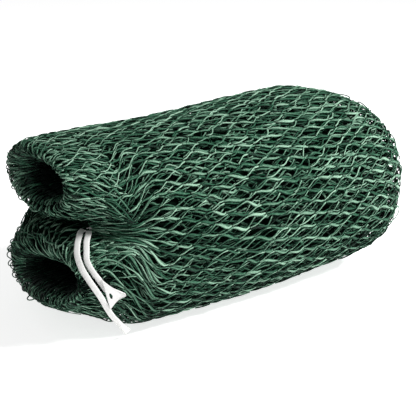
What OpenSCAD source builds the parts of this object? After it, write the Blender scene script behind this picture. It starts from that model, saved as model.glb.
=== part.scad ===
// Rolled climbing net: one knitted panel rolled into a bundle, turned in at both ends,
// folded into an upper and a lower lobe at the tied end, and closed with a flat tape.
// X runs along the bundle from the tied end (-X) to the loose end (+X), Z is up and
// Z = 0 is the surface that the bundle lies on. The origin is under its middle.

/* [Bundle] */
// Length of the bundle
bundle_len = 430; // [380:5:520]
// Width of the bundle at the tied end
tied_w = 212; // [190:2:256]
// Width of the bundle at the loose end
loose_w = 254; // [220:2:306]
// Height of the bundle at the loose end
bundle_h = 202; // [186:1:242]
// How much lower the top is at the tied end
top_sag = 9; // [0:1:14]
// How far the loose end is lifted off the ground
loose_lift = 14; // [0:1:20]

/* [Turns of netting] */
// Thickness of one turn of netting
turn_t = 15; // [10:0.5:18]
// Air between two turns
turn_gap = 0.4; // [0.3:0.1:0.8]

/* [Folded end] */
// Length over which the bundle is folded into two lobes
lobe_len = 85; // [75:1:105]
// Height of the crease between the two lobes
crease_z = 114; // [108:1:120]
// Air in the crease, where the tape passes
crease_gap = 3.2; // [2.8:0.1:4]
// How much further back the mouth lies at the rear than at the front
mouth_slant = 14; // [0:1:24]

/* [Mouths] */
// Width of the upper mouth
upper_mouth_w = 84; // [60:1:100]
// Height of the upper mouth
upper_mouth_h = 30; // [20:1:36]
// Width of the lower mouth
lower_mouth_w = 130; // [90:1:145]
// Height of the lower mouth
lower_mouth_h = 20; // [14:1:30]
// Depth of both mouths, down to the tucked netting
mouth_depth = 52; // [36:1:58]

/* [Loose end] */
// Distance that the netting is turned in over the rim
rim_d = 70; // [60:1:76]
// Depth of the hollow in the loose end
hollow_depth = 50; // [35:1:60]

/* [Edge cord] */
// Diameter of the cord along the free edge of the panel
edge_d = 5; // [3:0.5:7]

/* [Tape] */
// Width of the tape
tape_w = 6; // [5:0.5:9]
// Thickness of the tape
tape_t = 1.2; // [0.8:0.1:1.4]
// Length of the knot along the crease
knot_len = 15; // [12:1:18]
// Height of the knot
knot_h = 5; // [4:0.5:6]

/* [Hidden] */

net_color = [0.10, 0.22, 0.16];
net_dark = [0.06, 0.15, 0.11];
tape_color = [0.90, 0.90, 0.88];

// Points round each section of netting
sides = 48;
// Squareness of the upper and the lower half of the section: 2 is an ellipse
top_n = 2.4;
base_n = 3;
mouth_n = 2.3;
// Over 1, the underside settles flat on the ground
base_flat = 1.01;

near_x = -bundle_len / 2;
far_x = bundle_len / 2;
// Plane where the two lobes meet the wrapped part of the bundle
join_x = near_x + lobe_len;
// The tuck fills the deepest part of each mouth
tuck_len = lobe_len - mouth_depth - 5;
core_d = 3 * (turn_t + turn_gap) + turn_gap;
core_end_x = far_x - hollow_depth - 25;
// Places along the bundle where every turn has a section, so that their walls stay parallel
body_x = [join_x, join_x / 2, 0, far_x * 0.3, far_x * 0.55, far_x - 64];

angles = [for (k = [0 : sides - 1]) 360 * k / sides];

function signed_pow(v, e) = sign(v) * pow(abs(v), e);
function mix(a, b, t) = a * (1 - t) + b * t;
function smooth(t) = let (c = min(max(t, 0), 1)) c * c * (3 - 2 * c);
function mean(points) = [for (k = [0 : 2]) [for (p = points) p[k]] * [for (p = points) 1] / len(points)];
function half_w(x) = mix(tied_w, loose_w, x / bundle_len + 0.5) / 2;
// Height of the underside of the section at x: the loose end is lifted a little
function base_z(x) = loose_lift * smooth(x / far_x);
// Height of the top of the section at x
function top_z(x) = bundle_h - top_sag * (1 - smooth(x / far_x + 0.3));
function half_h(x) = (top_z(x) - base_z(x)) / 2;

// A point of the bundle's section at x, turned by angle a from +Y, d below the outside
function section_point(x, a, d) =
    let (n = sin(a) >= 0 ? top_n : base_n)
    [x,
     (half_w(x) - d) * signed_pow(cos(a), 2 / n),
     base_z(x) + half_h(x)
     + (half_h(x) - d) * max(-1, (sin(a) < 0 ? base_flat : 1) * signed_pow(sin(a), 2 / n))];

function section_ring(x, d) = [for (a = angles) section_point(x, a, d)];

// Angle at which the section at x, d below the outside, reaches the height z
function angle_at(x, z, d) =
    let (rise = (z - base_z(x) - half_h(x)) / (half_h(x) - d))
    asin(rise >= 0 ? pow(rise, top_n / 2) : -pow(-rise / base_flat, base_n / 2));

// Half of a section, closed by a straight line along the crease
function half_ring(x, d, upper) =
    let (line_z = crease_z + (upper ? 1 : -1) * crease_gap / 2,
         start = angle_at(x, line_z, d),
         line_y = section_point(x, start, d)[1])
    [for (a = angles)
        upper && a <= 180 ? section_point(x, start + (180 - 2 * start) * a / 180, d)
        : !upper && a >= 180 ? section_point(x, 180 - start + (180 + 2 * start) * (a - 180) / 180, d)
        : [x, line_y * cos(a), line_z]];

// A leaning rounded loop in the plane of x: centre, half sizes and lean
function mouth_ring(x, centre, half, lean) =
    [for (a = angles)
        let (y = half[0] * signed_pow(cos(a), 2 / mouth_n),
             z = half[1] * signed_pow(sin(a), 2 / mouth_n))
        [x, centre[0] + y * cos(lean) - z * sin(lean), centre[1] + y * sin(lean) + z * cos(lean)]];

tied_h = bundle_h - top_sag;

// Outer loop and mouth of each lobe: centre, half sizes, lean
upper_loop = [[5, mix(crease_z, tied_h, 0.51)], [tied_w / 2 - 14, (tied_h - crease_z) * 0.5], -6];
lower_loop = [[5, crease_z * 0.56], [tied_w / 2 - 10, crease_z * 0.42], -13];
upper_mouth = [[-18, mix(crease_z, tied_h, 0.63)], [upper_mouth_w, upper_mouth_h] / 2, -2];
lower_mouth = [[-26, crease_z * 0.58], [lower_mouth_w, lower_mouth_h] / 2, -10];

// One ring of a lobe: [distance from the tied end, share of the loop, share of the mouth]
function lobe_ring(step, upper) =
    let (x = near_x + step[0],
         loop = upper ? upper_loop : lower_loop,
         mouth = upper ? upper_mouth : lower_mouth,
         outside = mix(half_ring(x, 0, upper), mouth_ring(x, loop[0], loop[1], loop[2]), step[1]),
         inside = mouth_ring(x, mouth[0], mouth[1], mouth[2]),
         back = mouth_slant * (1 - smooth(step[0] / lobe_len)))
    [for (p = mix(outside, inside, step[2])) p + [back * smooth((p[1] + 40) / 130), 0, 0]];

// From the bottom of the mouth, over the lip and back to the wrapped part
lobe_steps = [[lobe_len - 5, 1, 1], [40, 1, 1], [20, 1, 0.98], [9, 1, 0.9], [2.5, 1, 0.74], [0, 1, 0.55],
              [2.5, 1, 0.35], [9, 1, 0.18], [20, 0.96, 0.06], [36, 0.75, 0], [52, 0.4, 0],
              [68, 0.12, 0], [lobe_len - turn_gap, 0, 0]];

function along(places, d) = [for (x = places) [x, d]];
function back_along(places, d) = [for (i = [len(places) - 1 : -1 : 0]) [places[i], d]];

// The netting from the join, out over the far rim and back in: [x, depth below the outside]
function turn_profile(r) = [
    each along(body_x, 0), [far_x - 48, 1], [far_x - 32, 5], [far_x - 16, 13], [far_x - 5, 25],
    [far_x, r * 0.6], [far_x - 4, r * 0.8], [far_x - 13, r - 5], [far_x - 26, r],
    [far_x - hollow_depth - 10, r], [far_x - hollow_depth - 10, r - turn_t], [far_x - 30, r - turn_t],
    [far_x - 19, r - turn_t - 5], [far_x - 16, r * 0.6], [far_x - 22, turn_t + 11], [far_x - 34, turn_t + 4],
    [far_x - 48, turn_t + 1], each back_along(body_x, turn_t)];

// An inner turn from depth d ends under the rim, or short of the netting turned in there
// where it has no room beside it
function inner_end(d) =
    d + turn_t + turn_gap < rim_d - turn_t ? far_x - 48 : far_x - hollow_depth - 10 - turn_gap;

function inner_profile(d) =
    let (end_x = inner_end(d),
         places = [for (x = body_x) if (x < end_x - 2) x])
    [each along(places, d), [end_x, d + 4], [end_x, d + turn_t], each back_along(places, d + turn_t)];

// A closed solid from rings of equal length. As a tube, its last ring joins its first one.
module ring_solid(rings, tube = false) {
    count = len(rings);
    n = len(rings[0]);
    points = [for (ring = rings) each ring];
    ends = tube ? [] : [mean(rings[0]), mean(rings[count - 1])];
    last = tube ? count - 1 : count - 2;
    function at(i, j) = (i % count) * n + j % n;
    walls = [for (i = [0 : last], j = [0 : n - 1], side = [0, 1])
        side == 0 ? [at(i, j), at(i + 1, j), at(i + 1, j + 1)] : [at(i, j), at(i + 1, j + 1), at(i, j + 1)]];
    caps = tube ? [] : [for (j = [0 : n - 1], end = [0, 1])
        end == 0 ? [at(0, j), at(0, j + 1), count * n]
        : [at(count - 1, j + 1), at(count - 1, j), count * n + 1]];
    polyhedron(points = concat(points, ends), faces = concat(walls, caps), convexity = 8);
}

// A tube that follows the profile all round the bundle's section
module turn(profile) ring_solid([for (p = profile) section_ring(p[0], p[1])], true);

module outer_turn() color(net_color) turn(turn_profile(rim_d));

module inner_turn(d) color(net_dark) turn(inner_profile(d));

module second_turn() inner_turn(turn_t + turn_gap);

module third_turn() inner_turn(2 * (turn_t + turn_gap));

module core_fold(upper) color(net_dark)
    ring_solid([for (x = [for (b = body_x) if (b < core_end_x) b, core_end_x]) half_ring(x, core_d, upper)]);

module core_upper_fold() core_fold(true);

module core_lower_fold() core_fold(false);

// Netting bunched up at the bottom of the hollow in the loose end
module far_tuck() color(net_dark)
    ring_solid([for (step = [[0, 2], [4, turn_gap], [23, turn_gap], [27, 5]])
        section_ring(core_end_x + turn_gap + step[0], rim_d + step[1])]);

module lobe(upper) color(net_color) ring_solid([for (step = lobe_steps) lobe_ring(step, upper)]);

module upper_lobe() lobe(true);

module lower_lobe() lobe(false);

// Netting bunched up at the bottom of a mouth, turn_gap clear of its wall
module mouth_tuck(mouth) color(net_dark)
    ring_solid([for (step = [[0, 5], [3, turn_gap], [tuck_len - 1, turn_gap]])
        mouth_ring(near_x + mouth_depth + step[0], mouth[0], mouth[1] - [step[1], step[1]], mouth[2])]);

module upper_tuck() mouth_tuck(upper_mouth);

module lower_tuck() mouth_tuck(lower_mouth);

// Unit vector
function unit(v) = v / norm(v);

// Tube along a route: the section is an ellipse of the given size, its flat side turned to the
// direction that facing holds for each point
module swept(route, facing, size, facets) {
    last = len(route) - 1;
    rings = [for (i = [0 : last])
        let (along = unit(route[min(i + 1, last)] - route[max(i - 1, 0)]),
             across = unit(cross(facing[i], along)),
             out = cross(along, across))
        [for (k = [0 : facets - 1])
            let (a = 360 * (k + 0.5) / facets)
            route[i] + across * size[0] / 2 * signed_pow(cos(a), 0.5)
            + out * size[1] / 2 * signed_pow(sin(a), 0.5)]];
    ring_solid(rings);
}

// The bound edge of the panel lies along the rear of the bundle
edge_angle = -40;
edge_step = 12;
edge_seat = 0.3;
edge_from = join_x + 8;
edge_to = far_x - 60;

function edge_out(x) = unit([0, cos(edge_angle) * half_h(x), sin(edge_angle) * half_w(x)]);

module edge_cord() {
    places = [for (x = [edge_from : edge_step : edge_to]) x];
    facing = [for (x = places) edge_out(x)];
    route = [for (i = [0 : len(places) - 1])
        section_point(places[i], edge_angle, 0) + facing[i] * (edge_d * 0.48 + edge_seat)];
    color(net_color) swept(route, facing, [edge_d, edge_d], 8);
}

// The knot sits in the groove where the crease reaches the front, and its loop lies behind it
knot_at = [near_x + 36.5, 46 - tied_w / 2, crease_z + 3.7];
knot_depth = 12;
loop_len = 34;
loop_w = 22;
loop_lean = 3;

module tie_knot() color(tape_color)
    translate(knot_at)
        ring_solid([for (step = [[-0.5, 0.55], [-0.36, 0.9], [0, 1], [0.36, 0.9], [0.5, 0.55]])
            [for (k = [0 : 15])
                let (a = 22.5 * k)
                [step[0] * knot_len,
                 step[1] * knot_depth / 2 * signed_pow(cos(a), 0.8),
                 step[1] * knot_h / 2 * signed_pow(sin(a), 0.8)]]]);

module stadium(length, width) {
    hull()
        for (side = [-1, 1])
            translate([side * (length - width) / 2, 0])
                circle(d = width, $fn = 32);
}

module tie_loop() color(tape_color)
    translate(knot_at + [(knot_len + loop_len) / 2 + turn_gap, 0, -2])
        rotate([0, loop_lean, 0])
            linear_extrude(tape_t, center = true)
                difference() {
                    stadium(loop_len, loop_w);
                    stadium(loop_len - 2 * tape_w, loop_w - 2 * tape_w);
                }

// The tails lie on the lower lobe and face away from its middle
lobe_middle = [-150, -20, 70];
long_route = [[-188, -58, 117], [-193, -61, 116], [-198, -66, 113], [-204, -73, 109], [-209, -81, 102],
              [-210, -90, 92], [-205, -94, 80], [-198, -95, 68], [-191, -93, 57], [-184, -90, 45],
              [-177, -85, 33], [-169, -81, 22], [-162, -77, 12], [-156, -73, 5], [-149, -69, 1.5],
              [-142, -65, 1]];
short_route = [[-186, -65, 117], [-190, -70, 115], [-195, -75, 111], [-199, -81, 105], [-202, -86, 97],
               [-200, -91, 88], [-195, -94, 79], [-189, -94, 70], [-184, -93, 61], [-179, -90, 52],
               [-175, -92, 55], [-170, -96, 58], [-165, -99, 60]];

// Below this height the tape turns flat to the ground
flat_below = 8;

module tail(route) color(tape_color)
    swept(route, [for (p = route) p[2] < flat_below ? [0, 0, -1] : p - lobe_middle], [tape_w, tape_t], 8);

module tie_tail_long() tail(long_route);

module tie_tail_short() tail(short_route);

outer_turn();
second_turn();
third_turn();
core_upper_fold();
core_lower_fold();
far_tuck();
upper_lobe();
lower_lobe();
upper_tuck();
lower_tuck();
edge_cord();
tie_loop();
tie_knot();
tie_tail_long();
tie_tail_short();
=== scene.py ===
"""Rolled climbing net: one knitted panel of diamond mesh, rolled into a bundle whose tied end is folded
into two lobes and closed with a flat tape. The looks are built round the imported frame, in metres."""

import math

import bpy
import numpy as np
from mathutils import Matrix, Vector


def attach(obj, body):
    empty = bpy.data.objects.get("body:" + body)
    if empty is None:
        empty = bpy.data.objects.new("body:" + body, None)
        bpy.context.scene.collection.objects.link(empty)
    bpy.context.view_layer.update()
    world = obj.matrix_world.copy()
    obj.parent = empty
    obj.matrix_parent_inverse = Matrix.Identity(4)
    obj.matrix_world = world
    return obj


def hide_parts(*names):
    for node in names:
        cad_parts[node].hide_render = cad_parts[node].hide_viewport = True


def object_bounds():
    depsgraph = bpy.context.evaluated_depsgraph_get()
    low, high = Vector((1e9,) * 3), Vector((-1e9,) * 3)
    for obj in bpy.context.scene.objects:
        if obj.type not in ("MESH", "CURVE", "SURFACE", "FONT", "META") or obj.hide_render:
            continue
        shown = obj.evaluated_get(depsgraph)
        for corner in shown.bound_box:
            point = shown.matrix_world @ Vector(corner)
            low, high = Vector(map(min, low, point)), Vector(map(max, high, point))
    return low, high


bl_info = {
    "name": "Rolled climbing net",
    "version": (1, 0, 0),
    "blender": (4, 5, 0),
    "location": "View3D > Sidebar > Net",
    "description": "Builds a rolled bundle of knitted climbing net, tied with a flat tape",
    "category": "Add Mesh",
}

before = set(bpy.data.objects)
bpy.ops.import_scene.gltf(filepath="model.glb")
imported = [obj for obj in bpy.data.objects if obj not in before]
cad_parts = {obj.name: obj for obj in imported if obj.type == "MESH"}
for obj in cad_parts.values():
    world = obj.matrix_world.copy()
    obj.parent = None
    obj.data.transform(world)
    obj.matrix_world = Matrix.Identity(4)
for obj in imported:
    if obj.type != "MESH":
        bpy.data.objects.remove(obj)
CAD_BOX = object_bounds()

# The bundle, as in the design: length, widths and heights in metres
NEAR_X, FAR_X = CAD_BOX[0][0], CAD_BOX[1][0]
BUNDLE_LEN = FAR_X - NEAR_X
TIED_W, LOOSE_W = 0.212, 0.254
BUNDLE_H = CAD_BOX[1][2]
TOP_SAG, LOOSE_LIFT = 0.009, 0.014
TOP_N, BASE_N, MOUTH_N, BASE_FLAT = 2.4, 3.0, 2.3, 1.01
LOBE_LEN, CREASE_Z, CREASE_GAP, MOUTH_SLANT = 0.085, 0.114, 0.0032, 0.014
JOIN_X = NEAR_X + LOBE_LEN
RIM_D, HOLLOW_DEPTH = 0.070, 0.050
TIED_H = BUNDLE_H - TOP_SAG

# Outer loop and mouth of each lobe: centre (y, z), half sizes (y, z), lean
UPPER_LOOP = ((0.005, CREASE_Z * 0.49 + TIED_H * 0.51), (TIED_W / 2 - 0.014, (TIED_H - CREASE_Z) * 0.5),
              math.radians(-6))
LOWER_LOOP = ((0.005, CREASE_Z * 0.56), (TIED_W / 2 - 0.010, CREASE_Z * 0.42), math.radians(-13))
UPPER_MOUTH = ((-0.018, CREASE_Z * 0.37 + TIED_H * 0.63), (0.042, 0.015), math.radians(-2))
LOWER_MOUTH = ((-0.026, CREASE_Z * 0.58), (0.065, 0.010), math.radians(-10))

# Over the lip, from the join to the bottom of the mouth: distance from the tied end, share of the
# loop, share of the mouth
LOBE_STEPS = np.array([
    (0.085, 0, 0), (0.068, 0.12, 0), (0.052, 0.4, 0), (0.036, 0.75, 0), (0.020, 0.96, 0.06),
    (0.009, 1, 0.18), (0.0025, 1, 0.35), (0, 1, 0.55), (0.0025, 1, 0.74), (0.009, 1, 0.9),
    (0.020, 1, 0.98), (0.040, 1, 1), (0.062, 1, 1)])

# From the join, out over the far rim and down into the hollow: x, depth below the outside
RIM_STEPS = np.array([
    (JOIN_X, 0), (JOIN_X / 2, 0), (0, 0), (FAR_X * 0.3, 0), (FAR_X * 0.55, 0), (FAR_X - 0.064, 0),
    (FAR_X - 0.048, 0.001), (FAR_X - 0.032, 0.005), (FAR_X - 0.016, 0.013), (FAR_X - 0.005, 0.025),
    (FAR_X, RIM_D * 0.6), (FAR_X - 0.004, RIM_D * 0.8), (FAR_X - 0.013, RIM_D - 0.005),
    (FAR_X - 0.026, RIM_D), (FAR_X - HOLLOW_DEPTH - 0.005, RIM_D)])

# Where the two folds of netting meet at the tape, at the front and at the rear
GATHER_FRONT = np.array((-0.179, -0.058, 0.1165))
GATHER_REAR = np.array((-0.176, 0.066, 0.1165))
BAND = 0.018          # half the height of the band of netting that is drawn in at the tape
BAND_END = 0.028      # distance from the tied end at which that band stops and only the lobes go on
DRAW_START, DRAW_LEN = 0.080, 0.050     # where it starts to be drawn in, and over what length
LIP_REACH = math.radians(50)

# The tape's two ends, as points along their middle
LONG_TAIL = 0.001 * np.array([
    (-188, -58, 117), (-193, -61, 116), (-198, -66, 113), (-204, -73, 109), (-209, -81, 102),
    (-210, -90, 92), (-205, -94, 80), (-198, -95, 68), (-191, -93, 57), (-184, -90, 45),
    (-177, -87, 34.5), (-169, -84, 25), (-161, -82, 15.5), (-154, -79, 8)])
SHORT_TAIL = 0.001 * np.array([
    (-186, -65, 117), (-190, -70, 115), (-195, -75, 111), (-199, -81, 105), (-202, -86, 97),
    (-200, -91, 88), (-195, -94, 79), (-189, -94, 70), (-186, -93.5, 65)])
TAIL_POINTS = 90
LOBE_MIDDLE = np.array((-0.150, -0.020, 0.070))   # the tape lies facing away from here
HANG_BELOW = 0.030    # below this height the tape hangs free and turns to face the front
HANG_FACING = np.array((-0.1, -0.95, 0.15))
PRESSED_X, PRESSED_Z = -0.135, 0.106    # netting nearer the tied end than x yields to tape below z
TWINE_ROOM, PACKING_ROOM = 0.0024, 0.0045         # how far behind the tape's middle it is kept
KNOT_AT = np.array((NEAR_X + 0.0405, 0.049 - TIED_W / 2, CREASE_Z + 0.0012))
KNOT_SIZE = (0.014, 0.010, 0.0035)
LOOP_LEN, LOOP_W, LOOP_LEAN = 0.034, 0.022, math.radians(3)
LOOP_AT = np.array((NEAR_X + 0.0365 + (0.015 + LOOP_LEN) / 2 + 0.0004, 0.046 - TIED_W / 2,
                    CREASE_Z + 0.0017))

# The short tail's end is folded back on itself: its upper and lower corner and its tip
FLAG_CORNERS = 0.001 * np.array([(-193, -96.5, 79), (-182, -92, 44.5), (-168.5, -101.5, 59)])
FLAG_HOLE = ((0.20, 0.52), (0.075, 0.13))     # middle and half sizes, as shares of the fold
FLAG_CELLS = 46

# The layers of netting: how deep each lies under the outside
OUTER_DEPTH, LIP_DEPTH, LIP_INNER_DEPTH, PACKED_DEPTH = 0.0012, 0.0022, 0.0050, 0.0085
# The third number of each layer lowers its whole tone: painted shade of the layers further in.
INNER_LAYERS = ((0.0028, -0.3, 0.06, "second_turn"), (0.0044, 0.2, 0.26, "third_turn"),
                (0.0060, -0.1, 0.1, None))        # depth, slant, shade, node
SKEW = 0.044          # how far the meshes run ahead between the rear and the front
LOWEST = 0.0012       # height of the middle of twine that lies on the ground
# These shares dim the twine's colours for the inner layers and the packed netting: painted shade.
INSIDE_DIM, PACKED_DIM = 0.6, 0.05
EDGE_ANGLE, EDGE_THICK, EDGE_LAY = math.radians(-40), 0.005, 0.016

LOBE_ROWS, BODY_ROWS, PACKED_ROWS = 72, 110, 90
AROUND = 288          # columns of each surface table
SEED = 7

FLOOR_HALF, FLOOR_Z = 6.0, -0.0004
LIGHTS = (("Key", (0.65, -1.1, 1.25), 56.0, 0.4), ("Fill", (-1.5, -0.6, 0.9), 2.5, 1.2))
AIM = (0, 0, 0.1)
LENS_MM, AZIMUTH, ELEVATION = 86.54, math.radians(-38), math.radians(18)
CAMERA_BACK, CAMERA_RIGHT, CAMERA_DOWN = 1.113, 0.0066, 0.0131


def smooth(t):
    """0 to 1 with no slope at either end: 3 t^2 - 2 t^3, held outside."""
    t = np.clip(t, 0, 1)
    return t * t * (3 - 2 * t)


def mix(a, b, t):
    """a where t is 0, b where it is 1, and in proportion between."""
    return a * (1 - t) + b * t


def signed_pow(v, e):
    """Power of the size of v, with the sign of v."""
    return np.sign(v) * np.abs(v) ** e


def unit(vectors):
    """The same directions, each of length 1."""
    return vectors / np.maximum(np.linalg.norm(vectors, axis=-1, keepdims=True), 1e-9)


def half_w(x):
    """Half the width at x: a straight taper from the loose end to the tied one."""
    return mix(TIED_W, LOOSE_W, (x - NEAR_X) / BUNDLE_LEN) / 2


def base_z(x):
    """Height of the underside, which lifts off the ground towards the loose end."""
    return LOOSE_LIFT * smooth(x / FAR_X)


def half_h(x):
    """Half the height at x, from the underside to a top that sags towards the tied end."""
    return (BUNDLE_H - TOP_SAG * (1 - smooth(x / FAR_X + 0.3)) - base_z(x)) / 2


def section(x, angle, depth=0.0):
    """Superellipse round the bundle at x, turned by angle from +Y: squarer below than above, and cut
    flat where it lies on the ground."""
    sine = np.sin(angle)
    power = np.where(sine >= 0, TOP_N, BASE_N)
    rise = np.where(sine < 0, BASE_FLAT, 1.0) * signed_pow(sine, 2 / power)
    y = (half_w(x) - depth) * signed_pow(np.cos(angle), 2 / power)
    z = base_z(x) + half_h(x) + (half_h(x) - depth) * np.maximum(rise, -1)
    return np.stack(np.broadcast_arrays(x, y, z), -1)


def angle_at(x, z):
    """Angle at which the section at x reaches the height z."""
    rise = (z - base_z(x) - half_h(x)) / half_h(x)
    upper = np.abs(rise) ** (TOP_N / 2)
    lower = -(np.abs(rise) / BASE_FLAT) ** (BASE_N / 2)
    return np.arcsin(np.where(rise >= 0, upper, lower))


def half_ring(x, angle, upper):
    """Half of the section at x, closed by a straight line along the crease."""
    angle = np.mod(angle, 2 * np.pi)
    line_z = CREASE_Z + (0.5 if upper else -0.5) * CREASE_GAP
    start = angle_at(x, line_z)
    line_y = section(x, start)[..., 1]
    if upper:
        outer, turned = angle <= np.pi, start + (np.pi - 2 * start) * angle / np.pi
    else:
        outer = angle >= np.pi
        turned = np.pi - start + (np.pi + 2 * start) * (angle - np.pi) / np.pi
    line = np.stack(np.broadcast_arrays(x, line_y * np.cos(angle), line_z), -1)
    return np.where(outer[..., None], section(x, turned), line)


def loop_ring(x, angle, loop):
    """Leaning rounded loop in the plane of x."""
    (y0, z0), (half_y, half_z), lean = loop
    y = half_y * signed_pow(np.cos(angle), 2 / MOUTH_N)
    z = half_z * signed_pow(np.sin(angle), 2 / MOUTH_N)
    return np.stack(np.broadcast_arrays(x, y0 + y * math.cos(lean) - z * math.sin(lean),
                                        z0 + y * math.sin(lean) + z * math.cos(lean)), -1)


def lobe_point(step, angle, upper):
    """Point of a lobe: half a section that turns into the lobe's own loop, and then into its mouth."""
    reach, loop_share, mouth_share = step[..., 0], step[..., 1, None], step[..., 2, None]
    x = NEAR_X + reach
    loop = loop_ring(x, angle, UPPER_LOOP if upper else LOWER_LOOP)
    outside = mix(half_ring(x, angle, upper), loop, loop_share)
    p = mix(outside, loop_ring(x, angle, UPPER_MOUTH if upper else LOWER_MOUTH), mouth_share)
    p[..., 0] += MOUTH_SLANT * (1 - smooth(reach / LOBE_LEN)) * smooth((p[..., 1] + 0.04) / 0.13)
    return p


def resample(rows, count, passes=4):
    """Rows read at even steps of their index and then averaged with their neighbours, which rounds
    the corners between them. The end rows stay."""
    at = np.linspace(0, len(rows) - 1, count)
    out = np.stack([np.interp(at, np.arange(len(rows)), rows[:, k]) for k in range(rows.shape[1])], -1)
    for _ in range(passes):
        out[1:-1] = out[1:-1] / 2 + (out[:-2] + out[2:]) / 4
    return out


def rounded(points, passes):
    """A closed-round table averaged with its neighbours, along and then round, once for each pass."""
    for _ in range(passes):
        points[1:-1] = points[1:-1] / 2 + (points[:-2] + points[2:]) / 4
        points = points / 2 + (np.roll(points, 1, 1) + np.roll(points, -1, 1)) / 4
    return points


def way_along(points):
    """Distance from the first point of a line to each of its points."""
    return np.r_[0, np.cumsum(np.linalg.norm(np.diff(points, axis=0), axis=1))]


def way_round(x, depth=0.0):
    """Angles round the section at x, and the share of the way round that each one reaches."""
    angle = np.linspace(0, 2 * np.pi, 1441)
    way = way_along(section(np.full_like(angle, x), angle, depth))
    return angle, way / way[-1]


def even_angles(x, depth, shares):
    """Section angles at which the given shares of the way round are reached."""
    angle, way = way_round(x, depth)
    return np.interp(np.mod(shares, 1), way, angle)


def share_of(x, target):
    """Share of the way round the section at x where its angle is target."""
    angle, way = way_round(x)
    return float(np.interp(target % (2 * np.pi), angle, way))


class Skin:
    """A surface held as a table of points, rows along the netting and columns round it."""

    def __init__(self, points, shown=None):
        self.points = points
        self.shown = np.ones(points.shape[:2]) if shown is None else shown
        across = np.roll(points, -1, 1) - np.roll(points, 1, 1)
        along = np.gradient(points, axis=0)
        self.normals = unit(np.cross(across, along))
        gaps = np.linalg.norm(np.diff(points, axis=0), axis=2)
        self.length = float(np.median(gaps, axis=1).sum())
        self.rows = np.r_[0, np.cumsum(np.median(gaps, axis=1))] / self.length

    def inset(self, depth, passes=3):
        """The same surface, depth further in (one number, or one for each row or each point), and
        rounded."""
        depth = np.asarray(depth, float)
        depth = depth[:, None] if depth.ndim == 1 else depth
        return Skin(rounded(self.points - depth[..., None] * self.normals, passes), self.shown)

    def at(self, u, v):
        """Point, normal and whether it is shown, at the share u of its length and v of the way round:
        the four nearest points of the table, mixed."""
        row = np.interp(np.clip(u, 0, 1), self.rows, np.arange(len(self.rows)))
        row0 = np.minimum(row.astype(int), len(self.rows) - 2)
        past_row = (row - row0)[..., None]
        columns = self.points.shape[1]
        column = np.mod(v, 1) * columns
        column0 = np.floor(column).astype(int)
        past_column = (column - column0)[..., None]
        column0, column1 = column0 % columns, (column0 + 1) % columns

        def read(t):
            return mix(mix(t[row0, column0], t[row0 + 1, column0], past_row),
                       mix(t[row0, column1], t[row0 + 1, column1], past_row), past_column)

        return read(self.points), unit(read(self.normals)), read(self.shown[..., None])[..., 0]


def closing_rows(ring, bulge, seed, count=16):
    """Rows from a ring to its middle: they bulge along x as one less the square of the share still to go,
    and are crumpled by slow waves that are still at the ring and at the middle."""
    share = np.linspace(0, 1, count)[1:, None]
    v = np.arange(len(ring)) / len(ring)
    rows = mix(ring, ring.mean(0), 0.985 * share[..., None])
    rows[..., 0] += (bulge * (1 - (1 - share) ** 2)
                     + 0.012 * share * (1 - share) * wander(3 * share, v, seed))
    return rows


def body_rows(profile):
    """Rings of the bundle's section along the profile, with evenly spaced points."""
    shares = np.arange(AROUND) / AROUND
    return np.stack([section(np.full(AROUND, x), even_angles(x, d, shares), d) for x, d in profile])


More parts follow.
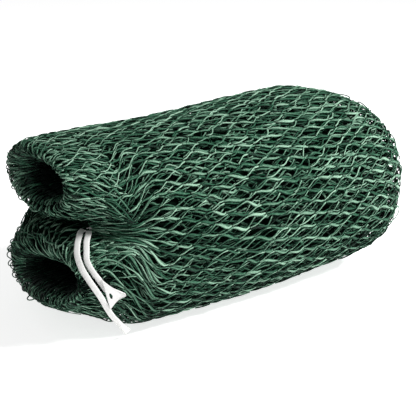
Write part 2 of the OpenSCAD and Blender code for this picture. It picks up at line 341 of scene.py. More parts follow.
def lobe_rows():
    """Rings of the tied end from the join to the bottom of the mouths. Each ring is the upper lobe's
    outside, a band at the front that is drawn in at the tape, the lower lobe's outside and a band at
    the rear. Past the lip only the lobes are shown."""
    steps = resample(LOBE_STEPS, LOBE_ROWS)
    shares = np.arange(AROUND) / AROUND
    joined = even_angles(JOIN_X, 0, shares)
    high, low = (float(angle_at(JOIN_X, CREASE_Z + side * BAND)) for side in (1, -1))
    f0, f1, f2, f3 = (share_of(JOIN_X, a) for a in (high, np.pi - high, np.pi - low, 2 * np.pi + low))
    upper_start, lower_start = (float(angle_at(JOIN_X, CREASE_Z + side * CREASE_GAP / 2))
                                for side in (1, -1))
    is_low = (shares > f2) & (shares < f3)
    front = (shares >= f1) & (shares <= f2)
    rear = (shares >= f3) | (shares <= f0)
    rear_width = (f0 - f3) % 1
    bands = (((f1 + f2) / 2, (f2 - f1) / 2, GATHER_FRONT, front),
             ((f3 + rear_width / 2) % 1, rear_width / 2, GATHER_REAR, rear))
    up_joined = (joined - upper_start) * np.pi / (np.pi - 2 * upper_start)
    up_lip = mix(-LIP_REACH, np.pi + LIP_REACH, (shares - f0) / (f1 - f0))
    low_joined = np.pi + (joined - np.pi + lower_start) * np.pi / (np.pi + 2 * lower_start)
    low_lip = mix(np.pi - LIP_REACH, 2 * np.pi + LIP_REACH, (shares - f2) / (f3 - f2))
    near_lip = smooth((LOBE_LEN - steps[:, 0]) / 0.06)
    near_lip[np.argmax(near_lip > 0.98):] = 1
    lip_row = int(np.argmin(steps[:, 0]))
    band_row = int(np.argmax(steps[:, 0] < BAND_END))
    rows, shown = [], []
    for k, (reach, _, _) in enumerate(steps):
        w = near_lip[k] if k < lip_row else 1.0
        up_angle, low_angle = mix(up_joined, up_lip, w), mix(low_joined, low_lip, w)

        def edge(share, angles, upper):
            return lobe_point(steps[k:k + 1], np.array([np.interp(share, shares, angles)]), upper)[0]

        step = np.broadcast_to(steps[k], (AROUND, 3))
        p = lobe_point(step, up_angle, True)
        p[is_low] = lobe_point(step, low_angle, False)[is_low]
        p[front] = mix(edge(f1, up_angle, True), edge(f2, low_angle, False),
                       ((shares[front] - f1) / (f2 - f1))[:, None])
        p[rear] = mix(edge(f3, low_angle, False), edge(f0, up_angle, True),
                      (np.mod(shares[rear] - f3, 1) / rear_width)[:, None])
        past = k > band_row
        drawn = 1.0 if past else float(np.clip((DRAW_START - reach) / DRAW_LEN, 0, 1))
        fade = 1.0 if not past else (smooth((reach - 0.006) / 0.022) if k < lip_row else 0.0)
        for centre, half, goal, inside in bands:
            off = np.abs(np.mod(shares - centre + 0.5, 1) - 0.5)
            beside = np.exp(-((off - half) / (1.1 * half)) ** 2) * 0.5 * fade
            p = mix(p, goal, (np.where(inside, 1.0, beside) * drawn)[:, None])
        rows.append(p)
        shown.append(np.where((front | rear) & past, 0.0, 1.0))
    return np.stack(rows), np.stack(shown)


def bundle_skin():
    """The outside of the whole bundle, from the bottom of the mouths to the bottom of the hollow."""
    lobes, shown = lobe_rows()
    body = body_rows(resample(RIM_STEPS, BODY_ROWS))
    points = rounded(np.concatenate([lobes[::-1], body[1:]]), 3)
    return Skin(points, np.concatenate([shown[::-1], np.ones((len(body) - 1, AROUND))]))


def lip_skin(upper, depth, reach=0.058, passes=4):
    """One whole lobe, from the bottom of its mouth over the lip and out along its outside, set in by
    depth. Where the lower mouth comes close to the front, its wall is thin, so it is set in less."""
    steps = resample(LOBE_STEPS, LOBE_ROWS)
    lip_row = int(np.argmin(steps[:, 0]))
    steps = steps[(np.arange(len(steps)) > lip_row) | (steps[:, 0] < reach)][::-1]
    angle = np.arange(AROUND) * 2 * np.pi / AROUND
    thin = 0.0 if upper else 0.88 * smooth(1.6 * steps[:, 2:3]) * np.exp(-((angle - np.pi) / 0.8) ** 2)
    points = rounded(np.stack([lobe_point(np.broadcast_to(s, (AROUND, 3)), angle, upper)
                               for s in steps]), 4)
    return Skin(points).inset(depth * (1 - thin) * np.ones(points.shape[:2]), passes)


# Meshes

def new_object(name, points, quads, caps=None, uv=None, tone=None, material=None):
    """A smooth mesh of quads, and of caps with one corner for each point of a strand's end."""
    mesh = bpy.data.meshes.new(name)
    faces = [quads] if caps is None else [quads, caps]
    loops = np.concatenate([table.ravel() for table in faces])
    totals = np.concatenate([np.full(len(table), table.shape[1]) for table in faces])
    mesh.vertices.add(len(points))
    mesh.vertices.foreach_set("co", np.ascontiguousarray(points, np.float32).ravel())
    mesh.loops.add(len(loops))
    mesh.loops.foreach_set("vertex_index", loops.astype(np.int32))
    mesh.polygons.add(len(totals))
    mesh.polygons.foreach_set("loop_start", np.r_[0, np.cumsum(totals)[:-1]].astype(np.int32))
    mesh.polygons.foreach_set("loop_total", totals.astype(np.int32))
    mesh.polygons.foreach_set("use_smooth", np.ones(len(totals), bool))
    if uv is not None:
        mesh.uv_layers.new(name="Strand").data.foreach_set("uv", uv[loops].astype(np.float32).ravel())
    if tone is not None:
        mesh.attributes.new("tone", "FLOAT", "POINT").data.foreach_set("value", tone.astype(np.float32))
    mesh.update(calc_edges=True)
    mesh.validate()
    obj = bpy.data.objects.new(name, mesh)
    bpy.context.scene.collection.objects.link(obj)
    if material is not None:
        mesh.materials.append(material)
    return obj


def strips(ids):
    """Quads between each row of a table of corner numbers and the next; its columns close round."""
    near, far = ids[..., :-1, :], ids[..., 1:, :]
    return np.stack([near, np.roll(near, -1, -1), np.roll(far, -1, -1), far], -1).reshape(-1, 4)


def strands(name, line, normal, width, thick, twist, sides, tone, material, painted_crown_light=0.0):
    """Flat closed ribbons along many centrelines at once. line and normal are [strand, step, xyz];
    width, thick and twist are [strand, step]. Each section is an ellipse whose wide axis lies across
    the line, turned by twist about it. Tone rises from the middle of its height to its top and falls
    below it, by the last argument: a painted highlight on top and painted shade underneath."""
    count, steps = line.shape[:2]
    along = unit(np.gradient(line, axis=1))
    across = unit(np.cross(normal, along))
    out = np.cross(along, across)
    angle = (np.arange(sides) + 0.5) * 2 * np.pi / sides
    wide = np.cos(twist)[..., None] * across + np.sin(twist)[..., None] * out
    flat = np.cos(twist)[..., None] * out - np.sin(twist)[..., None] * across
    ring = (line[:, :, None] + wide[:, :, None] * (np.cos(angle) * width[..., None] / 2)[..., None]
            + flat[:, :, None] * (np.sin(angle) * thick[..., None] / 2)[..., None])
    ids = np.arange(count * steps * sides).reshape(count, steps, sides)
    quads = strips(ids)
    caps = np.concatenate([ids[:, 0, ::-1], ids[:, -1]])
    gaps = np.linalg.norm(np.diff(line, axis=1), axis=2)
    way = np.concatenate([np.zeros((count, 1)), np.cumsum(gaps, 1)], 1)
    uv = np.stack(np.broadcast_arrays(way[..., None], (np.arange(sides) / sides)[None, None, :]), -1)
    tone = np.broadcast_to(tone[:, None, None] + painted_crown_light * (np.sin(angle) - 0.3), (count, steps, sides))
    return new_object(name, ring.reshape(-1, 3), quads, caps, uv.reshape(-1, 2), tone.ravel(), material)


def wander(u, v, seed, waves=5):
    """Slow wandering between about -1 and 1: a sum of sines with whole turns round v."""
    rng = np.random.default_rng(seed)
    total = np.zeros(np.broadcast(u, v).shape)
    for _ in range(waves):
        total = total + np.sin(2 * np.pi * (rng.uniform(0.6, 2.4) * u + rng.integers(-4, 5) * v
                                            + rng.uniform()))
    return total / math.sqrt(waves)


def netting(name, skin, meshes_along, meshes_round, material, rng, sides=5, flat=(0.0026, 0.0014),
            edge=(0.0022, 0.0013), shear=0.0, skew=0.0, loose=1.0, lift=0.0006, merge=0.05, keep=1.0,
            shortest=0.003, longest=0.042, steps=6, shade=None, thin=1.0):
    """Diamond mesh over a skin. Joints lie on a lattice of half meshes where row plus column is even.
    Two legs run from each one to the next row, one to either side, and stand proud of the skin by a
    half sine. Those of the first side lie flat (size flat) and ease in and out of their joints; those
    of the other lean on edge (size edge) and are straighter, and get a brighter tone: a painted
    highlight. Where shade is given it lowers the tone: painted shade. Joints and legs wander a little."""
    rows, columns = 2 * meshes_along + 1, 2 * meshes_round
    i, j = np.meshgrid(np.arange(rows), np.arange(columns), indexing="ij")
    slack_u = rng.normal(0, 0.10, i.shape) * loose
    slack_v = rng.normal(0, 0.13, i.shape) * loose
    u = (i + slack_u) / (rows - 1)
    v = (j + shear * i + slack_v) / columns
    u = u + 0.35 * loose * wander(u, v, int(rng.integers(1e6))) / rows
    v = v + 0.55 * loose * wander(u, v, int(rng.integers(1e6))) / columns
    start = ((i + j) % 2 == 0)[:-1]
    a = (i[:-1][start], j[:-1][start])
    t = np.linspace(0, 1, steps)
    t = t + 0.08 * np.sin(2 * np.pi * t)
    ease = {1: smooth((t - merge) / (1 - 2 * merge)), -1: mix(t, smooth(t), 0.25)}
    parts = []
    for side in (1, -1):
        b = (a[0] + 1, (a[1] + side) % columns)
        dv = v[b] - v[a]
        dv -= np.round(dv)
        n = len(dv)
        ua, ub = u[a][:, None], u[b][:, None]
        beside = side * 0.16 / columns
        vv = (v[a][:, None] + beside * (1 - 2 * t)[None] * np.abs(1 - 2 * t)[None]
              + dv[:, None] * ease[side])
        bow = rng.normal(0, 0.22, (n, 1)) * loose / columns * np.sin(np.pi * t)
        uu = ua + (ub - ua) * t
        vv = vv + bow
        uu = uu + skew / skin.length * swing(vv) * smooth(uu / 0.22) * smooth((1 - uu) / 0.2)
        p, nrm, shown = skin.at(uu, vv)
        bowed = 0.2 + 1.9 * np.sin(np.pi * t) if side > 0 else 1.7 + 0.9 * np.sin(np.pi * t)
        rise = lift * bowed + rng.normal(0, 0.0005, (n, 1)) * loose
        p = clear_tape(p + nrm * rise[..., None], TWINE_ROOM)
        p[..., 2] = np.maximum(p[..., 2], LOWEST)
        length = np.linalg.norm(np.diff(p, axis=1), axis=2).sum(1)
        good = (shown.mean(1) > 0.5) & (length > shortest) & (length < longest) & (rng.random(n) < keep)
        wide, thick = flat if side > 0 else edge
        size = rng.normal(1, 0.12, (n, 1))
        near_joint = 1 + (-0.34 if side > 0 else 0.05) * np.cos(2 * np.pi * t)
        near_joint = near_joint * mix(thin, 1, smooth(uu / 0.5))
        lean = rng.normal(0.15 if side > 0 else 0.95, 0.30, (n, 1))
        twist = np.broadcast_to(lean * np.sin(np.pi * t), p.shape[:2])
        # Legs on edge get a brighter tone than flat ones: painted highlight.
        tone = rng.normal(0.62 if side < 0 else 0.46, 0.20, n)
        # Painted shade: the tone is lowered by place along the skin, darkest deep in the mouths.
        if shade is not None:
            tone = tone - shade(uu.mean(1))
        parts.append([table[good] for table in (
            p, nrm, wide * size * near_joint, thick * size * np.sqrt(near_joint), twist, tone)])
    line, nrm, wide, thick, twist, tone = (np.concatenate(tables) for tables in zip(*parts))
    # The last number paints each leg lighter on top and darker below: painted highlight and shade.
    return strands(name, line, nrm, wide, thick, twist, sides, tone - 0.06, material, 0.55)


def clear_tape(points, room):
    """Points moved in towards the middle of the lobe until they lie at least room behind the tape's
    middle: by what is missing, whole within 4 mm beside it and falling to nothing at 6.5 mm."""
    route = np.concatenate([fine_route(LONG_TAIL, 80), fine_route(SHORT_TAIL, 60)])
    route = route[route[:, 2] < PRESSED_Z]
    near = points[..., 0] < PRESSED_X
    p = points[near]
    offset = p[:, None] - route
    nearest = np.linalg.norm(offset, axis=2).argmin(1)
    offset = offset[np.arange(len(p)), nearest]
    inward = unit(LOBE_MIDDLE - route[nearest])
    deep = (offset * inward).sum(1)
    beside = np.linalg.norm(offset - deep[:, None] * inward, axis=1)
    push = np.maximum(0, room - deep) * smooth((0.0065 - beside) / 0.0025) * (deep > -0.012)
    moved = points.copy()
    moved[near] = p + inward * push[:, None]
    return moved


def loops(name, skin, row, rise, count, material, rng, side, width=0.0015):
    """Slack loops of twine that stand out from a skin at the share row of its length, where it faces the
    side given: half an ellipse each, rising along the skin's normal, with uneven feet and heights."""
    t = np.linspace(0, np.pi, 9)
    v = (np.arange(count) + rng.normal(0, 0.3, count))[:, None] / count
    half = rng.uniform(0.5, 1.1, (count, 1)) / count
    u = row + rng.normal(0, 0.02, (count, 1)) + 0.02 * np.sin(t) * rng.normal(0, 1, (count, 1))
    p, nrm, _ = skin.at(u, v - half * np.cos(t))
    p = p + nrm * (rise * rng.uniform(0.2, 1.0, (count, 1)) * np.sin(t) - 0.001)[..., None]
    kept = nrm.mean(1) @ np.asarray(side, float) > 0.6
    p, nrm = p[kept], nrm[kept]
    p[..., 2] = np.maximum(p[..., 2], LOWEST)
    ones = np.ones(p.shape[:2])
    return strands(name, p, nrm, width * ones, 0.8 * width * ones, 0 * ones, 5,
                   rng.normal(0.5, 0.15, len(p)), material)


def twisted_cord(name, route, out, thick, lay, material):
    """Three strands laid round a route as helices: a whole turn for each lay, a third of a turn apart."""
    beside = np.cross(unit(np.gradient(route, axis=0)), out)
    turn = 2 * np.pi * (way_along(route) / lay + np.arange(3)[:, None] / 3)
    away = np.cos(turn)[..., None] * out + np.sin(turn)[..., None] * beside
    line = route + 0.26 * thick * away
    ones = np.ones(line.shape[:2])
    # The last number paints each strand lighter on top and darker below: painted highlight and shade.
    return strands(name, line, away, 0.52 * thick * ones, 0.48 * thick * ones, 0 * ones, 8,
                   np.array([0.5, 0.6, 0.45]), material, 0.3)


def swing(v):
    """-1 over the rear of the bundle to 1 down its front, and back: even slopes with round turns."""
    return np.arcsin(0.96 * np.sin(2 * np.pi * (v - 0.375))) / math.asin(0.96)


def painted_mouth_shade(lip, reach=0.10, depth=0.75, base=0.0):
    """Painted shade: twine is painted darker from the lip to the bottom of a mouth, by depth more
    than its base painted shade, which lowers all of it.
    """
    return lambda u: base + depth * smooth((lip - u) / reach)


def surface_object(name, skin, material, tone=0.5):
    """The skin itself as a sheet of quads that closes round, pressed in where the tape lies."""
    skin.points = clear_tape(skin.points, PACKING_ROOM)
    rows, columns = skin.points.shape[:2]
    ids = np.arange(rows * columns).reshape(rows, columns)
    v, u = np.meshgrid(np.arange(columns) / columns, skin.rows)
    return new_object(name, skin.points.reshape(-1, 3), strips(ids), None,
                      np.stack([u, v], -1).reshape(-1, 2), np.full(ids.size, tone), material)


# Materials

def socket(group, name, kind, default=None, out=False):
    """One named input of a node group, or one output."""
    made = group.interface.new_socket(name=name, in_out="OUTPUT" if out else "INPUT", socket_type=kind)
    if default is not None:
        made.default_value = default
    return made


def maths(group, operation, *values):
    """One maths node, with a link to each value that is a socket. Gives its result's socket."""
    node = group.nodes.new("ShaderNodeMath")
    node.operation = operation
    for at, value in enumerate(values):
        if isinstance(value, bpy.types.NodeSocket):
            group.links.new(value, node.inputs[at])
        else:
            node.inputs[at].default_value = value
    return node.outputs[0]


def ranged(group, value, *limits):
    """One map range node over a socket, with its limits set. Gives its result's socket."""
    node = group.nodes.new("ShaderNodeMapRange")
    for key, limit in zip(("From Min", "From Max", "To Min", "To Max"), limits):
        node.inputs[key].default_value = limit
    group.links.new(value, node.inputs["Value"])
    return node.outputs[0]


def blended(group, factor, first, second):
    """One colour mix node. Gives its result's socket."""
    node = group.nodes.new("ShaderNodeMix")
    node.data_type = "RGBA"
    for at, value in (("Factor", factor), (6, first), (7, second)):
        group.links.new(value, node.inputs[at])
    return node.outputs[2]


def knit_group():
    """Knitted twine: chevron stitches along the strand from its own coordinates, as a height and a
    groove mask."""
    if "Knit stitches" in bpy.data.node_groups:
        return bpy.data.node_groups["Knit stitches"]
    g = bpy.data.node_groups.new("Knit stitches", "ShaderNodeTree")
    socket(g, "Stitch length", "NodeSocketFloat", 0.0016)
    socket(g, "Height", "NodeSocketFloat", out=True)
    socket(g, "Groove", "NodeSocketFloat", out=True)
    n, link = g.nodes, g.links
    gin, gout = n.new("NodeGroupInput"), n.new("NodeGroupOutput")
    uv = n.new("ShaderNodeUVMap")
    uv.uv_map = "Strand"
    split = n.new("ShaderNodeSeparateXYZ")
    link.new(uv.outputs[0], split.inputs[0])
    tent = maths(g, "PINGPONG", split.outputs[1], 0.25)
    along = maths(g, "DIVIDE", split.outputs[0], gin.outputs["Stitch length"])
    wave = maths(g, "PINGPONG", maths(g, "MULTIPLY_ADD", tent, 3.0, along), 0.5)
    height = maths(g, "MULTIPLY", wave, 2.0)
    groove = ranged(g, height, 0.0, 0.45, 1.0, 0.0)
    link.new(height, gout.inputs["Height"])
    link.new(groove, gout.inputs["Groove"])
    return g


def tint_group():
    """Colour that changes from strand to strand and slowly over the bundle: dark, middle and pale. The
    tone that it reads also carries painted highlight and painted shade.
    """
    if "Strand tint" in bpy.data.node_groups:
        return bpy.data.node_groups["Strand tint"]
    g = bpy.data.node_groups.new("Strand tint", "ShaderNodeTree")
    for name, colour in (("Dark", (0.01, 0.03, 0.02, 1)), ("Middle", (0.05, 0.12, 0.08, 1)),
                         ("Pale", (0.2, 0.3, 0.24, 1))):
        socket(g, name, "NodeSocketColor", colour)
    socket(g, "Patch size", "NodeSocketFloat", 22.0)
    socket(g, "Groove", "NodeSocketFloat", 0.0)
    socket(g, "Color", "NodeSocketColor", out=True)
    n, link = g.nodes, g.links
    gin, gout = n.new("NodeGroupInput"), n.new("NodeGroupOutput")
    tone = n.new("ShaderNodeAttribute")
    tone.attribute_name = "tone"
    coord = n.new("ShaderNodeTexCoord")
    noise, fine = n.new("ShaderNodeTexNoise"), n.new("ShaderNodeTexNoise")
    link.new(gin.outputs["Patch size"], noise.inputs["Scale"])
    fine.inputs["Scale"].default_value = 420.0
    for node, detail in ((noise, 3.0), (fine, 2.0)):
        node.inputs["Detail"].default_value = detail
        link.new(coord.outputs["Object"], node.inputs["Vector"])
    patch = maths(g, "MULTIPLY_ADD", noise.outputs["Fac"], 0.55, tone.outputs["Fac"])
    grain = maths(g, "MULTIPLY_ADD", fine.outputs["Fac"], 0.40, patch)
    centred = maths(g, "SUBTRACT", grain, 0.475)
    # Stitch grooves lower the tone: painted shade in the grooves.
    deep = maths(g, "MULTIPLY_ADD", gin.outputs["Groove"], -0.22, centred)
    low, high = ranged(g, deep, 0.0, 0.5), ranged(g, deep, 0.5)
    shaded = blended(g, low, gin.outputs["Dark"], gin.outputs["Middle"])
    link.new(blended(g, high, shaded, gin.outputs["Pale"]), gout.inputs["Color"])
    return g


def strand_material(name, dark, middle, pale, roughness, stitch, bump, sheen=0.0, specular=0.45):
    """Twine: strand-to-strand tint, knitted stitches as bump and slightly rougher grooves, which are
    also painted darker as painted shade.
    """
    material = bpy.data.materials.new(name)
    material.use_nodes = True
    n, link = material.node_tree.nodes, material.node_tree.links
    shader = n["Principled BSDF"]
    for key, value in (("Specular IOR Level", specular), ("Sheen Weight", sheen),
                       ("Sheen Roughness", 0.5)):
        shader.inputs[key].default_value = value
    knit, tint = n.new("ShaderNodeGroup"), n.new("ShaderNodeGroup")
    knit.node_tree, tint.node_tree = knit_group(), tint_group()
    knit.inputs["Stitch length"].default_value = stitch
    for key, colour in (("Dark", dark), ("Middle", middle), ("Pale", pale)):
        tint.inputs[key].default_value = (*colour, 1)
    link.new(knit.outputs["Groove"], tint.inputs["Groove"])
    link.new(tint.outputs["Color"], shader.inputs["Base Color"])
    rough = ranged(material.node_tree, knit.outputs["Groove"], 0.0, 1.0, roughness,
                   min(1.0, roughness + 0.25))
    link.new(rough, shader.inputs["Roughness"])
    bumped = n.new("ShaderNodeBump")
    bumped.inputs["Strength"].default_value = bump
    bumped.inputs["Distance"].default_value = 0.0004
    link.new(knit.outputs["Height"], bumped.inputs["Height"])
    link.new(bumped.outputs[0], shader.inputs["Normal"])
    return material


def linear(*srgb):
    """Linear colour of an sRGB colour given from 0 to 255."""
    c = np.array(srgb) / 255
    return tuple(np.where(c <= 0.04045, c / 12.92, ((c + 0.055) / 1.055) ** 2.4))


def net_twine(name, dim, roughness, stitch, bump, specular):
    """The net's own colours, each times dim."""
    c = bpy.context.scene.net_colours
    dimmed = [tuple(dim * v for v in colour) for colour in (c.dark, c.middle, c.pale)]
    return bpy.data.materials.get(name) or strand_material(
        name, *dimmed, roughness, stitch, bump, 0.0, specular)


def net_material():
    """Twine in the open."""
    return net_twine("Net twine", 1.0, 0.6, 0.0017, 0.5, 0.14)


def inside_material():
    """Twine of the innermost layers, which the outer ones keep from the light."""
    return net_twine("Net twine in painted shade", INSIDE_DIM, 0.8, 0.0017, 0.4, 0.03)


def shadow_material():
    """Netting packed too close to see one strand from the next. Its colours are dimmed almost to
    black: painted shade.
    """
    return net_twine("Packed netting", PACKED_DIM, 0.9, 0.004, 0.6, 0.02)


def tape_material():
    """White woven tape: fine slanting ribs on its own coordinates, painted darker in their grooves as
    painted shade, and a faint soiled tint.
    """
    c = bpy.context.scene.net_colours
    shades = [tuple(min(1, v * share) for v in c.tape) for share in (0.84, 1, 1.04)]
    return bpy.data.materials.get("White tape") or strand_material(
        "White tape", *shades, 0.6, 0.0011, 0.35, 0.2)


LENGTH = {"subtype": "DISTANCE", "unit": "LENGTH", "precision": 4}
COLOUR = {"subtype": "COLOR", "min": 0, "max": 1}


class NetSizes(bpy.types.PropertyGroup):
    """Sizes of the netting and the tape."""
    meshes_round: bpy.props.IntProperty(name="Meshes round", description="Meshes round the bundle",
                                        default=50)
    meshes_along: bpy.props.IntProperty(name="Meshes along", description="Meshes from mouth to hollow",
                                        default=17)
    twine_w: bpy.props.FloatProperty(name="Twine width", description="Width of a leg of twine",
                                     default=0.0028, **LENGTH)
    twine_t: bpy.props.FloatProperty(name="Twine thickness", description="Thickness of a leg of twine",
                                     default=0.0015, **LENGTH)
    tape_w: bpy.props.FloatProperty(name="Tape width", description="Width of the tying tape",
                                    default=0.006, **LENGTH)
    tape_t: bpy.props.FloatProperty(name="Tape thickness", description="Thickness of the tying tape",
                                    default=0.0012, **LENGTH)


class NetColours(bpy.types.PropertyGroup):
    """Colours of the netting and the tape."""
    # Dark and pale: strands that differ at random, and also painted shade and painted highlight.
    dark: bpy.props.FloatVectorProperty(name="Dark twine", description="Shaded twine",
                                        default=linear(0, 14, 8), **COLOUR)
    middle: bpy.props.FloatVectorProperty(name="Twine", description="Colour of the twine",
                                          default=linear(35, 78, 57), **COLOUR)
    pale: bpy.props.FloatVectorProperty(name="Pale twine", description="Paler twine and painted highlight",
                                        default=linear(128, 160, 139), **COLOUR)
    tape: bpy.props.FloatVectorProperty(name="Tape", description="Colour of the tape",
                                        default=linear(196, 196, 194), **COLOUR)


def ride(obj, slot, *nodes):
    """Puts a piece on the one body, in place of the nodes named. slot is not used."""
    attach(obj, "root")
    if nodes:
        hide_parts(*nodes)
    return obj


def fine_route(route, count):
    """A smooth curve through a route's points: Catmull-Rom, read at even steps."""
    p = np.concatenate([2 * route[:1] - route[1:2], route, 2 * route[-1:] - route[-2:-1]])
    s = np.linspace(0, len(route) - 1, count)
    k = np.minimum(s.astype(int), len(route) - 2)
    t = (s - k)[:, None]
    a, b, c, d = p[k], p[k + 1], p[k + 2], p[k + 3]
    return 0.5 * (2 * b + (c - a) * t + (2 * a - 5 * b + 4 * c - d) * t ** 2
                  + (3 * b - a - 3 * c + d) * t ** 3)


def tape_along(name, line, width, thick):
    """Tape carried along a line, its flat side away from the middle of the lobe that it lies on, and
    turned to face the front where it hangs free."""
    facing = mix(unit(line - LOBE_MIDDLE), HANG_FACING, smooth((HANG_BELOW - line[:, 2:]) / HANG_BELOW))
    for _ in range(6):
        facing[1:-1] = facing[1:-1] / 2 + (facing[:-2] + facing[2:]) / 4
    return strands(name, line[None], unit(facing)[None], width[None], np.full((1, len(line)), thick),
                   np.zeros((1, len(line))), 12, np.array([0.5]), tape_material())


def folded_end(name):
    """The folded end of the tape: straight from the edge between the first two corners to a blunt tip,
    both long edges a little hollow and the face gently waved, with an oval hole where the fold doesn't
    close."""
    s, t = np.meshgrid(np.linspace(0, 0.94, FLAG_CELLS), np.linspace(0, 1, FLAG_CELLS), indexing="ij")
    upper, lower, tip = FLAG_CORNERS
    p = mix(mix(upper, lower, t[..., None]), tip, s[..., None])
    middle = FLAG_CORNERS.mean(0)
    hollow = 0.16 * np.sin(np.pi * s) * (2 * t - 1) ** 2
    p = mix(p, middle, hollow[..., None])
    out = unit(np.cross(lower - upper, tip - upper))
    out = out * np.sign(out @ (middle - LOBE_MIDDLE))
    wave = 0.0008 * np.sin(np.pi * t) * np.cos(np.pi * s) + 0.0005 * np.sin(5 * s + 3 * t)
    p = p + out * wave[..., None]
    ids = np.arange(FLAG_CELLS ** 2).reshape(FLAG_CELLS, FLAG_CELLS)
    quads = np.stack([ids[:-1, :-1], ids[1:, :-1], ids[1:, 1:], ids[:-1, 1:]], -1).reshape(-1, 4)
    (s0, t0), (ds, dt) = FLAG_HOLE
    mid_s, mid_t = s[:-1, :-1].ravel(), t[:-1, :-1].ravel()
    quads = quads[((mid_s - s0) / ds) ** 2 + ((mid_t - t0) / dt) ** 2 > 1]
    uv = np.stack([0.03 * s, 0.8 * t], -1).reshape(-1, 2)
    obj = new_object(name, p.reshape(-1, 3), quads, None, uv, np.full(ids.size, 0.5), tape_material())
    thick = obj.modifiers.new("Thickness", "SOLIDIFY")
    thick.thickness = 0.0010
    thick.offset = 0
    return obj


def knot_piece(name, middle, size):
    """The tape's knot: a flattened trefoil, so that three wraps cross one another."""
    t = np.linspace(0, 2 * np.pi, 73)
    line = np.stack([np.sin(t) + 2 * np.sin(2 * t), np.cos(t) - 2 * np.cos(2 * t), -np.sin(3 * t)], -1)
    line = line / (3, 3, 1) * np.asarray(size) / 2 + middle
    facing = np.broadcast_to((0.0, -0.3, 1.0), line.shape)
    ones = np.ones((1, len(t)))
    # Its tone is a little lower than the tails': the knot is painted darker, painted shade of the crease.
    return strands(name, line[None], facing[None], 0.0036 * ones, 0.0013 * ones, 0 * ones, 10,
                   np.array([0.4]), tape_material())


def tape_loop(name, width, thick):
    """The slipped loop behind the knot: tape laid flat along a long round-ended ring."""
    turn = np.linspace(0, 2 * np.pi, 65)
    half_len, half_w = LOOP_LEN / 2 - width / 2, LOOP_W / 2 - width / 2
    x = half_w * np.cos(turn) + (half_len - half_w) * np.clip(3 * np.cos(turn), -1, 1)
    line = np.stack([x, half_w * np.sin(turn), 0 * x], -1)
    c, s = math.cos(LOOP_LEAN), math.sin(LOOP_LEAN)
    line = line @ np.array([(c, 0, -s), (0, 1, 0), (s, 0, c)]) + LOOP_AT
    facing = np.broadcast_to((0.0, 0.0, 1.0), line.shape)
    ones = np.ones((1, len(turn)))
    return strands(name, line[None], facing[None], width * ones, thick * ones, 0 * ones, 10,
                   np.array([0.5]), tape_material())


class NET_OT_tape(bpy.types.Operator):
    """Flat tape: two tails, the knot between the lobes and the loop behind it"""
    bl_idname = "net.tape"
    bl_label = "Tape"

    def execute(self, context):
        s = context.scene.net_sizes
        for name, route, node, flare in (("Tape_tail_long", LONG_TAIL, "tie_tail_long", 0.3),
                                         ("Tape_tail_short", SHORT_TAIL, "tie_tail_short", 0)):
            line = fine_route(route, TAIL_POINTS)
            end = smooth((np.linspace(0, 1, TAIL_POINTS) - 0.86) / 0.14) * flare
            tail = ride(tape_along(name, line, s.tape_w * (1 + end), s.tape_t), "tape", node)
        flag = ride(folded_end("Tape_folded_end"), "tape")
        flag.parent = bpy.data.objects["Tape_tail_short"]
        ride(knot_piece("Tape_knot", KNOT_AT, KNOT_SIZE), "tape", "tie_knot")
        ride(tape_loop("Tape_loop", s.tape_w, s.tape_t), "tape", "tie_loop")
        return {"FINISHED"}


class NET_OT_outer_net(bpy.types.Operator):
    """Outermost layer of mesh, from the mouths over the bundle and into the hollow of the loose end"""
    bl_idname = "net.outer_net"
    bl_label = "Outer net"

    def execute(self, context):
        s = context.scene.net_sizes
        rng = np.random.default_rng(SEED)
        ride(netting("Outer_net", bundle_skin().inset(OUTER_DEPTH), s.meshes_along, s.meshes_round,
                     net_material(), rng, flat=(s.twine_w, s.twine_t),
                     edge=(s.twine_w * 0.68, s.twine_t * 0.95), shear=-0.26, skew=SKEW,
                     shade=painted_mouth_shade(0.15), thin=0.5),
             "net", "outer_turn")
        return {"FINISHED"}


class NET_OT_inner_nets(bpy.types.Operator):
    """Layers of mesh that show through the outermost one"""
    bl_idname = "net.inner_nets"
    bl_label = "Inner nets"

    def execute(self, context):
        s = context.scene.net_sizes
        skin = bundle_skin()
        rng = np.random.default_rng(SEED + 1)
        for k, (depth, shear, base, node) in enumerate(INNER_LAYERS):
            # The deepest of these layers takes the dimmed twine: painted shade.
            material = inside_material() if k == 2 else net_material()
            ride(netting(f"Inner_net_{k + 1}", skin.inset(depth), s.meshes_along + k,
                         s.meshes_round + 4 + 5 * k, material, rng, sides=4,
                         flat=(s.twine_w * 0.74, s.twine_t), edge=(s.twine_w * 0.6, s.twine_t),
                         shear=shear, skew=SKEW * (0.8 - 0.6 * k), loose=1.3 + 0.4 * k, steps=5,
                         shade=painted_mouth_shade(0.16, base=base), thin=0.5),
                 "net_inside", *([node] if node else []))
        return {"FINISHED"}


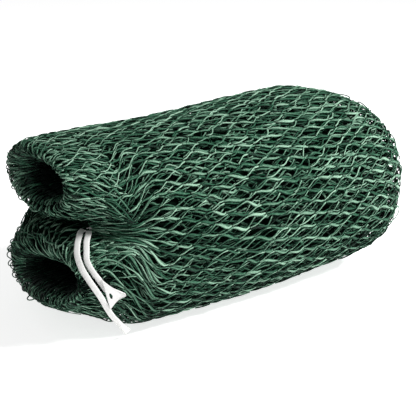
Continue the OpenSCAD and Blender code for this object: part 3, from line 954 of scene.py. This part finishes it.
class NET_OT_lobes(bpy.types.Operator):
    """Close-set mesh that turns over the lips of the two lobes into their mouths"""
    bl_idname = "net.lobes"
    bl_label = "Lobes"

    def execute(self, context):
        s = context.scene.net_sizes
        rng = np.random.default_rng(SEED + 2)
        ride(loops("Rim_loops", bundle_skin(), 0.80, 0.005, 60, net_material(), rng, (0.9, -0.3, 0.3)),
             "net")
        for name, upper, node in (("Upper", True, "upper_lobe"), ("Lower", False, "lower_lobe")):
            ride(loops(f"{name}_lip_loops", lip_skin(upper, LIP_DEPTH, 0.066), 0.54,
                       0.006 if upper else 0.009, 46, net_material(), rng, (-0.8, 0.6, 0)), "net")
            # The lip nets are painted darker into the mouths, the inner ones more: painted shade.
            ride(netting(f"{name}_lip_net", lip_skin(upper, LIP_DEPTH), 5, 44, net_material(), rng,
                         flat=(s.twine_w * 0.62, s.twine_t), edge=(s.twine_w * 0.55, s.twine_t),
                         shear=0.05, shade=painted_mouth_shade(0.5, 0.3, 1.1, 0.08)), "net", node)
            ride(netting(f"{name}_lip_inner_net", lip_skin(upper, LIP_INNER_DEPTH), 5, 40,
                         inside_material(), rng, sides=4, flat=(s.twine_w * 0.6, s.twine_t),
                         edge=(s.twine_w * 0.6, s.twine_t), loose=1.8, steps=5,
                         shade=painted_mouth_shade(0.5, 0.3, 1.0, 0.35)), "net_inside")
        return {"FINISHED"}


class NET_OT_packing(bpy.types.Operator):
    """Packed netting behind the open layers, down to the bottom of each hollow"""
    bl_idname = "net.packing"
    bl_label = "Packed netting"

    def tuck(self, name, tables, rng, node):
        """Crumpled mesh that stands just off the bottom of a hollow and the walls beside it."""
        crumpled = Skin(np.concatenate(tables)).inset(-0.0012)
        ride(netting(name, crumpled, 4, 18, inside_material(), rng, sides=4, loose=2.2, steps=5),
             "net_inside", node)

    def execute(self, context):
        rng = np.random.default_rng(SEED + 3)
        skin = Skin(body_rows(resample(RIM_STEPS, PACKED_ROWS)))
        depth = PACKED_DEPTH + 0.004 * np.exp(-((skin.rows - 0.78) / 0.10) ** 2)
        packed = skin.inset(depth, 6).points
        bottom = closing_rows(packed[-1], 0.006, SEED + 11)
        ride(surface_object("Packed_body", Skin(np.concatenate([packed, bottom])), shadow_material()),
             "net_inside", "core_upper_fold", "core_lower_fold")
        self.tuck("Far_tuck_net", [packed[-8:], bottom], rng, "far_tuck")
        for name, upper, node in (("Upper", True, "upper_tuck"), ("Lower", False, "lower_tuck")):
            packed = lip_skin(upper, PACKED_DEPTH, LOBE_LEN + 0.001, 6).points
            bottom = closing_rows(packed[0], -0.006, SEED + 12 + upper)[::-1]
            ride(surface_object(f"{name}_packing", Skin(np.concatenate([bottom, packed])),
                                shadow_material()), "net_inside")
            self.tuck(f"{name}_tuck_net", [bottom, packed[:8]], rng, node)
        return {"FINISHED"}


class NET_OT_edge(bpy.types.Operator):
    """Cord along the free edge of the panel, at the rear"""
    bl_idname = "net.edge"
    bl_label = "Edge cord"

    def execute(self, context):
        x = np.linspace(JOIN_X + 0.008, FAR_X - 0.060, 260)
        out = np.stack([0 * x, math.cos(EDGE_ANGLE) * half_h(x), math.sin(EDGE_ANGLE) * half_w(x)], -1)
        out = unit(out)
        route = section(x, EDGE_ANGLE) + out * 0.0027
        ride(twisted_cord("Edge_cord", route, out, EDGE_THICK, EDGE_LAY, net_material()),
             "edge", "edge_cord")
        return {"FINISHED"}


def look_from(obj, place, target):
    """Sets an object at a place, its -Z axis to the target."""
    direction = Vector(place) - Vector(target)
    obj.matrix_world = Matrix.Translation(place) @ direction.to_track_quat("Z", "Y").to_matrix().to_4x4()


class NET_OT_stage(bpy.types.Operator):
    """Pale floor, soft studio light and the camera"""
    bl_idname = "net.stage"
    bl_label = "Stage"

    def execute(self, context):
        scene = context.scene
        corners = np.array([(-1, -1, 0), (1, -1, 0), (1, 1, 0), (-1, 1, 0)], float) * FLOOR_HALF
        corners[:, 2] = FLOOR_Z
        material = bpy.data.materials.new("Floor white")
        material.use_nodes = True
        shader = material.node_tree.nodes["Principled BSDF"]
        for key, value in (("Base Color", (0.9, 0.9, 0.9, 1)), ("Roughness", 0.9),
                           ("Emission Color", (1, 1, 1, 1)), ("Emission Strength", 0.75)):
            shader.inputs[key].default_value = value
        floor = new_object("Floor", corners, np.array([[0, 1, 2, 3]]), material=material)
        world = bpy.data.worlds.new("Studio")
        world.use_nodes = True
        background = world.node_tree.nodes["Background"]
        background.inputs["Color"].default_value = (1, 1, 1, 1)
        background.inputs["Strength"].default_value = 0.18
        scene.world = world
        for name, place, power, wide in LIGHTS:
            light = bpy.data.lights.new(name, "AREA")
            light.energy, light.size = power, wide
            lamp = bpy.data.objects.new(name, light)
            scene.collection.objects.link(lamp)
            look_from(lamp, place, AIM)
        camera = bpy.data.cameras.new("Camera")
        camera.sensor_width = 36.0
        camera.lens = LENS_MM
        camera.clip_start = 0.05
        eye = bpy.data.objects.new("Camera", camera)
        scene.collection.objects.link(eye)
        level = math.cos(ELEVATION)
        back = Vector((math.sin(AZIMUTH) * level, -math.cos(AZIMUTH) * level, math.sin(ELEVATION)))
        right = Vector((math.cos(AZIMUTH), math.sin(AZIMUTH), 0))
        up = back.cross(right)
        place = Vector(AIM) + back * CAMERA_BACK + right * CAMERA_RIGHT - up * CAMERA_DOWN
        eye.matrix_world = Matrix.Translation(place) @ Matrix((right, up, back)).transposed().to_4x4()
        scene.camera = eye
        scene.view_settings.view_transform = "Standard"
        return {"FINISHED"}


PIECES = (NET_OT_stage, NET_OT_tape, NET_OT_outer_net, NET_OT_inner_nets, NET_OT_lobes, NET_OT_packing,
          NET_OT_edge)


class NET_PT_panel(bpy.types.Panel):
    """Lists the pieces of the rolled net"""
    bl_idname = "NET_PT_panel"
    bl_label = "Rolled climbing net"
    bl_space_type = "VIEW_3D"
    bl_region_type = "UI"
    bl_category = "Net"

    def draw(self, context):
        for piece in PIECES:
            self.layout.operator(piece.bl_idname)
        for group in (context.scene.net_sizes, context.scene.net_colours):
            for name in group.bl_rna.properties.keys():
                if name not in ("rna_type", "name"):
                    self.layout.prop(group, name)


CLASSES = (NetSizes, NetColours, *PIECES, NET_PT_panel)


def register():
    for cls in CLASSES:
        bpy.utils.register_class(cls)
    bpy.types.Scene.net_sizes = bpy.props.PointerProperty(type=NetSizes)
    bpy.types.Scene.net_colours = bpy.props.PointerProperty(type=NetColours)


def unregister():
    del bpy.types.Scene.net_sizes
    del bpy.types.Scene.net_colours
    for cls in reversed(CLASSES):
        bpy.utils.unregister_class(cls)


def main():
    register()
    for piece in PIECES:
        area, name = piece.bl_idname.split(".")
        getattr(getattr(bpy.ops, area), name)()


if __name__ == "__main__":
    main()
